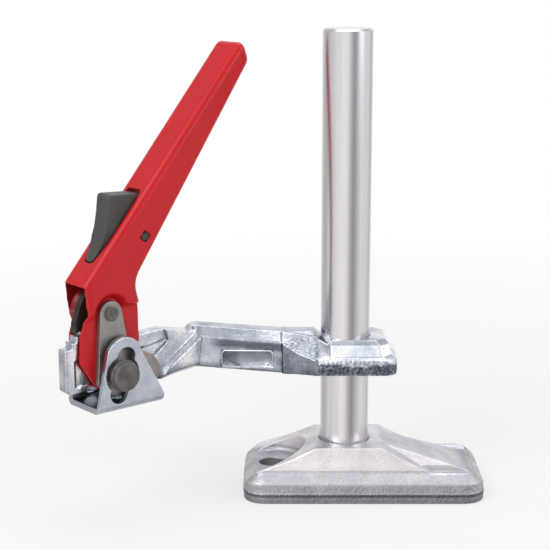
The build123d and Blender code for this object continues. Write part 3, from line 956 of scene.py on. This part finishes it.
    def flatten(self, mesh: Mesh) -> None:
        """Lay the near side flat round the panel and sink the panel's ground.

        Args:
            mesh: the arm's eased mesh.
        """
        for vertex in mesh.vertices:
            point = vertex.co / MM
            x, z = -point.x, point.z - self.base_z
            off = -self.side(x, z) - point.y
            if abs(off) > self.face_reach or point.y > 0:
                continue
            ends, sides = self.off_panel(x, z)
            if max(ends, sides) < 0:
                off += self.panel_depth
            share = (1 - step(ends, *self.flat_ends)) * (1 - step(sides, *self.flat_sides))
            vertex.co.y += share * off * MM

    def shape(self, mesh: Mesh) -> None:
        """Shape and tone the arm's skin."""
        displaced(mesh, self.surface)
        self.flatten(mesh)
        toned(mesh, self.tone)

    def panel_rim(self) -> bpy.types.Object:
        """Make the raised rim round the bare panel, swept along a rectangle with cut corners.

        Returns:
            The rim as a plain mesh in its place.
        """
        tree, inputs = geometry_tree(
            "panel_rim", Length="Float", Height="Float", Corner="Float", Wire="Float",
            Place="Vector", Turn="Rotation", Material="Material",
        )
        path = add(
            tree, "GeometryNodeCurvePrimitiveQuadrilateral", Width=inputs["Length"],
            Height=inputs["Height"],
        )
        cut = add(
            tree, "GeometryNodeFilletCurve", {"mode": "POLY"}, Curve=path.outputs[0],
            Radius=inputs["Corner"], Count=self.corner_points,
        )
        section = add(
            tree, "GeometryNodeCurvePrimitiveCircle", Resolution=self.rim_sides,
            Radius=inputs["Wire"],
        )
        swept = add(
            tree, "GeometryNodeCurveToMesh", Curve=cut.outputs[0],
            Profile_Curve=section.outputs[0],
        )
        placed = add(
            tree, "GeometryNodeTransform", Geometry=swept.outputs[0],
            Translation=inputs["Place"], Rotation=inputs["Turn"],
        )
        close_tree(tree, placed.outputs[0], inputs["Material"], True)
        lean = math.atan2(self.draft, self.side_high - self.side_low)
        yaw = -math.atan2((self.neck_width - self.crank_width) / 2, self.crank_x - self.neck_x)
        turn = Matrix.Rotation(yaw, 3, "Z") @ Matrix.Rotation(math.pi / 2 + lean, 3, "X")
        near_side = -self.side(self.panel_x, self.panel_z)
        place = Vector((-self.panel_x, near_side, self.base_z + self.panel_z)) * MM
        return grown(
            "panel_rim", tree, bpy.data.meshes.new("panel_rim"), Length=self.panel_length * MM,
            Height=self.panel_height * MM, Corner=self.panel_corner * MM, Wire=self.rim * MM,
            Place=place, Turn=turn.to_euler(), Material=FORGED_ZINC.material(),
        )

    def build(self) -> None:
        """Make the arm's skin, its panel's rim and the pin's skin, and dress the ring."""
        skin = Skin("arm", "arm_forging", self.voxel, self.passes).grow(self.shape, self.close_slit)
        dress(skin, FORGED_ZINC, "arm", "arm_zinc", "arm")
        rim = self.panel_rim()
        toned(rim.data, lambda point, normal: self.rim_tone)
        dress(rim, FORGED_ZINC, "arm", "arm_zinc")
        pin = Skin("pivot_pin", "pivot_pin_headed", self.pin_voxel, self.passes).grow()
        dress(pin, PIN_STEEL, "arm", "pin_steel", "pivot_pin")
        keep("friction_ring", NYLON)


@dataclass
class LeverUnit:
    """The red pressed lever, its two cams with their rivets, and the trigger's spring.

    Names that end in tone are tones, those in normal are parts of a normal.
    """

    voxel: float = 0.42
    passes: int = 3
    cam_voxel: float = 0.28
    cam_passes: int = 2
    joggle_low: float = 84.0
    joggle_high: float = 108.0
    joggle_passes: int = 10
    mouth_s: float = -17.8
    mouth_z: float = 45.3
    lean: float = 40.5

    # Painted shade inside the channel: on the web, lighter higher up, and on the cheeks' inner faces
    web_depth: float = 4.0
    web_normal: float = 0.5
    under_normal: float = 0.2
    web_tone: float = 0.14
    web_rise: Shade = Shade(0.36, 20.0, 50.0)
    cheek_tone: float = 0.5

    rivet_radius: float = 3.5
    rivet_length: float = 1.25
    rivet_crown: float = 0.35
    rivet_face: float = 8.8
    rivet_sides: int = 40
    rivet_weld: float = 0.001
    crown_steps: tuple[float, ...] = (0.94, 0.86)

    wire: float = 0.4
    wire_sides: int = 12
    coil_radius: float = 3.2
    coil_turns: float = 2.0
    coil_pitch: float = 0.88
    turn_points: int = 40

    def rivets(self) -> bpy.types.Object:
        """Set a crowned rivet head at each cam's eye, pointing outwards.

        Returns:
            Both heads as one plain mesh.
        """
        tree, inputs = geometry_tree(
            "rivet_heads", Radius="Float", Length="Float", Crown="Float", Material="Material",
        )
        faces = {"mode": "FACES"}
        disc = add(
            tree, "GeometryNodeMeshCircle", {"fill_type": "NGON"}, Vertices=self.rivet_sides,
            Radius=inputs["Radius"],
        ).outputs[0]
        body = add(
            tree, "GeometryNodeExtrudeMesh", faces, Mesh=disc, Offset_Scale=inputs["Length"],
            Individual=False,
        )
        shape, top = body.outputs["Mesh"], body.outputs["Top"]
        for narrowing in self.crown_steps:
            crown = add(
                tree, "GeometryNodeExtrudeMesh", faces, Mesh=shape, Selection=top,
                Offset_Scale=inputs["Crown"], Individual=False,
            )
            top = crown.outputs["Top"]
            shape = add(
                tree, "GeometryNodeScaleElements", Geometry=crown.outputs["Mesh"], Selection=top,
                Scale=narrowing,
            ).outputs[0]
        under = add(tree, "GeometryNodeFlipFaces", Mesh=disc).outputs[0]
        both = add(tree, "GeometryNodeJoinGeometry", Geometry=[shape, under]).outputs[0]
        head = add(
            tree, "GeometryNodeMergeByDistance", Geometry=both, Distance=self.rivet_weld * MM,
        ).outputs[0]
        vector = {"data_type": "FLOAT_VECTOR"}
        outward = add(tree, "GeometryNodeInputNamedAttribute", vector, Name="outward").outputs[0]
        turn = add(tree, "FunctionNodeAlignRotationToVector", {"axis": "Z"}, Vector=outward).outputs[0]
        placed = add(
            tree, "GeometryNodeInstanceOnPoints", Points=inputs["Geometry"], Instance=head,
            Rotation=turn,
        ).outputs[0]
        close_tree(tree, placed, inputs["Material"], False)
        middle = (centre("cam_rivet_near") + centre("cam_rivet_far")) / 2
        reach = self.rivet_face * MM
        points = bpy.data.meshes.new("rivet_points")
        points.from_pydata([middle + NEAR * reach, middle - NEAR * reach], [], [])
        outward_data = points.attributes.new("outward", "FLOAT_VECTOR", "POINT")
        outward_data.data.foreach_set("vector", [*NEAR, *(-NEAR)])
        return grown(
            "cam_rivet_heads", tree, points, Radius=self.rivet_radius * MM,
            Length=self.rivet_length * MM, Crown=self.rivet_crown * MM / len(self.crown_steps),
            Material=PIN_STEEL.material(),
        )

    def spring(self) -> bpy.types.Object:
        """Wind the trigger's spring as a swept helix.

        Returns:
            The coil as a plain mesh in its place.
        """
        tree, inputs = geometry_tree(
            "trigger_coil", Turns="Float", Coil_Radius="Float", Height="Float", Wire="Float",
            Place="Vector", Turn="Rotation", Material="Material",
        )
        path = add(
            tree, "GeometryNodeCurveSpiral", Resolution=self.turn_points,
            Rotations=inputs["Turns"], Start_Radius=inputs["Coil Radius"],
            End_Radius=inputs["Coil Radius"], Height=inputs["Height"],
        )
        section = add(
            tree, "GeometryNodeCurvePrimitiveCircle", Resolution=self.wire_sides,
            Radius=inputs["Wire"],
        )
        swept = add(
            tree, "GeometryNodeCurveToMesh", Curve=path.outputs[0],
            Profile_Curve=section.outputs[0], Fill_Caps=True,
        )
        placed = add(
            tree, "GeometryNodeTransform", Geometry=swept.outputs[0],
            Translation=inputs["Place"], Rotation=inputs["Turn"],
        )
        close_tree(tree, placed.outputs[0], inputs["Material"], True)
        height = self.coil_pitch * self.coil_turns * MM
        place = centre("trigger_spring") - NEAR * height / 2
        return grown(
            "trigger_coil", tree, bpy.data.meshes.new("trigger_coil"), Turns=self.coil_turns,
            Coil_Radius=self.coil_radius * MM, Height=height, Wire=self.wire * MM, Place=place,
            Turn=NEAR.to_track_quat("Z", "Y").to_euler(), Material=SPRING_STEEL.material(),
        )

    def along(self, point: Vector) -> tuple[float, float]:
        """Give a point's height along the grip and its depth behind the grip's web.

        Args:
            point: a point of the lever.

        Returns:
            The height and the depth.
        """
        s = (point - PIVOT).dot(INWARD) - self.mouth_s
        z = point.z - PIVOT.z - self.mouth_z
        lean = math.radians(self.lean)
        height = s * math.sin(lean) + z * math.cos(lean)
        return height, s * math.cos(lean) - z * math.sin(lean)

    def tone(self, point: Vector, normal: Vector) -> float:
        """Give the lever's tones: painted shade inside the channel, full colour outside.

        Args:
            point: a point of the lever.
            normal: its normal.

        Returns:
            The tone.
        """
        height, depth = self.along(point)
        back = normal.z < self.under_normal and normal.dot(INWARD) > self.web_normal
        if back and depth < self.web_depth:
            return self.web_tone + self.web_rise.rising(height)
        return self.cheek_tone if looks_inwards(point, normal) else 1.0

    def shape(self, mesh: Mesh) -> None:
        """Draw the joggle out softly, as the press leaves it, and paint shade into the channel."""
        relaxed(mesh, lambda point: self.joggle_low < point.z < self.joggle_high, self.joggle_passes)
        toned(mesh, self.tone)

    def build(self) -> None:
        """Make the lever's and the cams' skins, the rivet heads and the spring."""
        lever = Skin("lever", "lever_pressing", self.voxel, self.passes).grow(self.shape)
        dress(lever, RED_COAT, "lever", "lever_red", "lever")
        for side in ("near", "far"):
            plate = Skin(f"cam_{side}", f"cam_{side}_plate", self.cam_voxel, self.cam_passes)
            dress(plate.grow(), CAM_STEEL, "lever", "cam_steel", f"cam_{side}")
        dress(self.rivets(), PIN_STEEL, "lever", "rivet_steel", "cam_rivet_near", "cam_rivet_far")
        dress(self.spring(), SPRING_STEEL, "lever", "spring_steel", "trigger_spring")


@dataclass
class ReleaseUnit:
    """The moulded release trigger and the pawl that it carries."""

    voxel: float = 0.3
    passes: int = 4

    def build(self) -> None:
        """Make the trigger's skin and dress the pawl."""
        trigger = Skin("release_trigger", "trigger_moulding", self.voxel, self.passes).grow()
        dress(trigger, NYLON, "release", "trigger_plastic", "release_trigger")
        keep("pawl", PAWL_STEEL)


@dataclass
class ShoeUnit:
    """The pressed pressure shoe."""

    voxel: float = 0.32
    passes: int = 3
    inner_half: float = 9.5
    # Painted shade on the floor between the cheeks and on the cheeks' inner faces
    floor_normal: float = 0.6
    floor_tone: float = 0.32
    cheek_tone: float = 0.5

    def tone(self, point: Vector, normal: Vector) -> float:
        """Give the shoe's tones: painted shade on the cheeks' inner faces and on the floor between
        them.

        Args:
            point: a point of the shoe.
            normal: its normal.

        Returns:
            The tone.
        """
        if looks_inwards(point, normal):
            return self.cheek_tone
        inside = abs((point - PIVOT).dot(NEAR)) < self.inner_half
        return self.floor_tone if normal.z > self.floor_normal and inside else 1.0

    def shape(self, mesh: Mesh) -> None:
        """Paint shade into the shoe's skin."""
        toned(mesh, self.tone)

    def build(self) -> None:
        """Make the shoe's skin."""
        shoe = Skin("shoe", "shoe_pressing", self.voxel, self.passes).grow(self.shape)
        dress(shoe, ZINC_SHEET, "shoe", "shoe_zinc", "shoe")


class Seen(Enum):
    """Light Path outputs that tell how a ray reaches the surroundings."""

    CAMERA = "Is Camera Ray"
    GLOSSY = "Is Glossy Ray"
    THROUGH = "Is Transmission Ray"


@dataclass
class Lamp:
    """A soft rectangular lamp aimed at the clamp, in metres and watts."""

    name: str
    place: tuple[float, float, float]
    size: tuple[float, float]
    watts: float
    aim: tuple[float, float, float] = (-0.03, 0.0, 0.10)

    def build(self) -> None:
        """Hang the lamp."""
        data = bpy.data.lights.new(self.name, "AREA")
        data.shape = "RECTANGLE"
        data.size, data.size_y = self.size
        data.energy = self.watts
        lamp = bpy.data.objects.new(self.name, data)
        lamp.location = self.place
        lamp.rotation_euler = (Vector(self.aim) - lamp.location).to_track_quat("-Z", "Y").to_euler()
        bpy.context.scene.collection.objects.link(lamp)


@dataclass
class Studio:
    """Floor, world, lamps and camera, in metres and degrees.

    The levels of AROUND average about 0.7, which the gloss of 1.4 brings to about 1.
    """

    camera_place: tuple[float, float, float] = (-0.03595, -0.74301, 0.28039)
    focal_px: float = 1497.2
    picture_px: float = 550.0
    sensor: float = 36.0
    pitch: float = 12.71
    ambient: float = 0.42
    ambient_colour: str = "#F4F5F7"
    gloss: float = 1.4
    behind_from: float = 0.35
    floor_radius: float = 4.0
    floor_sides: int = 96
    floor_z: float = -0.0002
    floor_colour: str = "#F7F7F7"
    floor_glow: float = 0.62
    floor_fade: tuple[float, float] = (0.16, 0.7)
    lamps: tuple[Lamp, ...] = (
        Lamp("key_softbox", (-0.75, -0.75, 0.95), (0.8, 0.8), 7.0),
        Lamp("fill_softbox", (0.9, -0.55, 0.6), (0.5, 0.9), 3.0),
        Lamp("top_softbox", (0.0, 0.2, 1.2), (1.0, 0.8), 4.0),
    )

    def camera(self) -> None:
        """Put the camera at the photograph's viewpoint."""
        data = bpy.data.cameras.new("viewpoint")
        data.sensor_width = self.sensor
        data.lens = self.focal_px / self.picture_px * self.sensor
        camera = bpy.data.objects.new("viewpoint", data)
        camera.location = self.camera_place
        camera.rotation_euler = (math.radians(90 - self.pitch), 0, 0)
        bpy.context.scene.collection.objects.link(camera)
        bpy.context.scene.camera = camera

    def reflected(self, tree: Tree) -> Socket:
        """Paint what bright metal reflects: pale walls, dark flags at the sides, a tint by height.

        Args:
            tree: the world's node tree.

        Returns:
            The reflected colour.
        """
        direction = add(tree, "ShaderNodeTexCoord").outputs["Generated"]
        parts = add(tree, "ShaderNodeSeparateXYZ", Vector=direction)
        multiply = {"operation": "MULTIPLY"}
        sum_up = {"operation": "MULTIPLY_ADD"}
        front = add(tree, "ShaderNodeMath", multiply, i0=parts.outputs["Y"], i1=-1.0).outputs[0]
        angle = add(
            tree, "ShaderNodeMath", {"operation": "ARCTAN2"}, i0=parts.outputs["X"], i1=front,
        ).outputs[0]
        turn = add(tree, "ShaderNodeMath", sum_up, i0=angle, i1=1 / math.tau, i2=0.5).outputs[0]
        around = ramp(tree, turn, *AROUND)
        height = add(
            tree, "ShaderNodeMath", sum_up, i0=parts.outputs["Z"], i1=0.5, i2=0.5,
        ).outputs[0]
        before = ramp(tree, height, *BEFORE)
        behind = ramp(tree, height, *BEHIND)
        side = ramp(tree, parts.outputs["Y"], (0.0, 0.0), (self.behind_from, 1.0))
        colours = {"data_type": "RGBA"}
        level = add(tree, "ShaderNodeMix", colours, i0=side, i6=before, i7=behind).outputs[2]
        return tinted(tree, tinted(tree, around, level), ramp(tree, height, *REFLECTED_TINT))

    def world(self) -> None:
        """Pale surroundings: white where the camera looks, banded greys in reflections."""
        world = bpy.data.worlds.new("studio")
        bpy.context.scene.world = world
        world.use_nodes = True
        tree = world.node_tree
        tree.nodes.clear()
        path = add(tree, "ShaderNodeLightPath")
        kind = "ShaderNodeBackground"
        ambient = add(tree, kind, Color=linear(self.ambient_colour), Strength=self.ambient)
        shiny = add(tree, kind, Color=self.reflected(tree), Strength=self.gloss)
        white = add(tree, kind, Color=linear(WHITE), Strength=1.0)
        mixed = add(
            tree, "ShaderNodeMixShader", i0=path.outputs[Seen.GLOSSY.value],
            i1=ambient.outputs[0], i2=shiny.outputs[0],
        )
        seen = add(
            tree, "ShaderNodeMath", {"operation": "MAXIMUM"},
            i0=path.outputs[Seen.CAMERA.value], i1=path.outputs[Seen.THROUGH.value],
        )
        final = add(
            tree, "ShaderNodeMixShader", i0=seen.outputs[0], i1=mixed.outputs[0],
            i2=white.outputs[0],
        )
        add(tree, "ShaderNodeOutputWorld", Surface=final.outputs[0])

    def floor(self) -> None:
        """Lay a round pale floor that fades into the white surroundings."""
        bpy.ops.mesh.primitive_circle_add(
            vertices=self.floor_sides, radius=self.floor_radius, fill_type="NGON",
            location=(0, 0, self.floor_z),
        )
        floor = bpy.context.object
        floor.name = "floor"
        floor.visible_glossy = False
        material = bpy.data.materials.new("pale_floor")
        material.use_nodes = True
        tree = material.node_tree
        tree.nodes.clear()
        coords = add(tree, "ShaderNodeTexCoord").outputs["Object"]
        reach = add(tree, "ShaderNodeVectorMath", {"operation": "LENGTH"}, i0=coords)
        fade = add(
            tree, "ShaderNodeMapRange", Value=reach.outputs["Value"], From_Min=self.floor_fade[0],
            From_Max=self.floor_fade[1], To_Min=self.floor_glow, To_Max=1.0,
        )
        paint = add(tree, "ShaderNodeBsdfDiffuse", Color=linear(self.floor_colour))
        glow = add(tree, "ShaderNodeEmission", Color=linear(WHITE), Strength=1.0)
        path = add(tree, "ShaderNodeLightPath")
        share = add(
            tree, "ShaderNodeMath", {"operation": "MULTIPLY"}, i0=fade.outputs[0],
            i1=path.outputs[Seen.CAMERA.value],
        )
        mixed = add(
            tree, "ShaderNodeMixShader", i0=share.outputs[0], i1=paint.outputs[0],
            i2=glow.outputs[0],
        )
        add(tree, "ShaderNodeOutputMaterial", Surface=mixed.outputs[0])
        floor.data.materials.append(material)

    def build(self) -> None:
        """Make the whole studio."""
        self.camera()
        self.world()
        self.floor()
        for lamp in self.lamps:
            lamp.build()
        bpy.context.scene.view_settings.view_transform = "Standard"


def main() -> None:
    """Build the studio and every sub-assembly in order."""
    logging.basicConfig(level=logging.INFO, format="%(name)s %(message)s")
    for unit in (Studio(), FootUnit(), ArmUnit(), LeverUnit(), ReleaseUnit(), ShoeUnit()):
        unit.build()


if __name__ == "__main__":
    main()
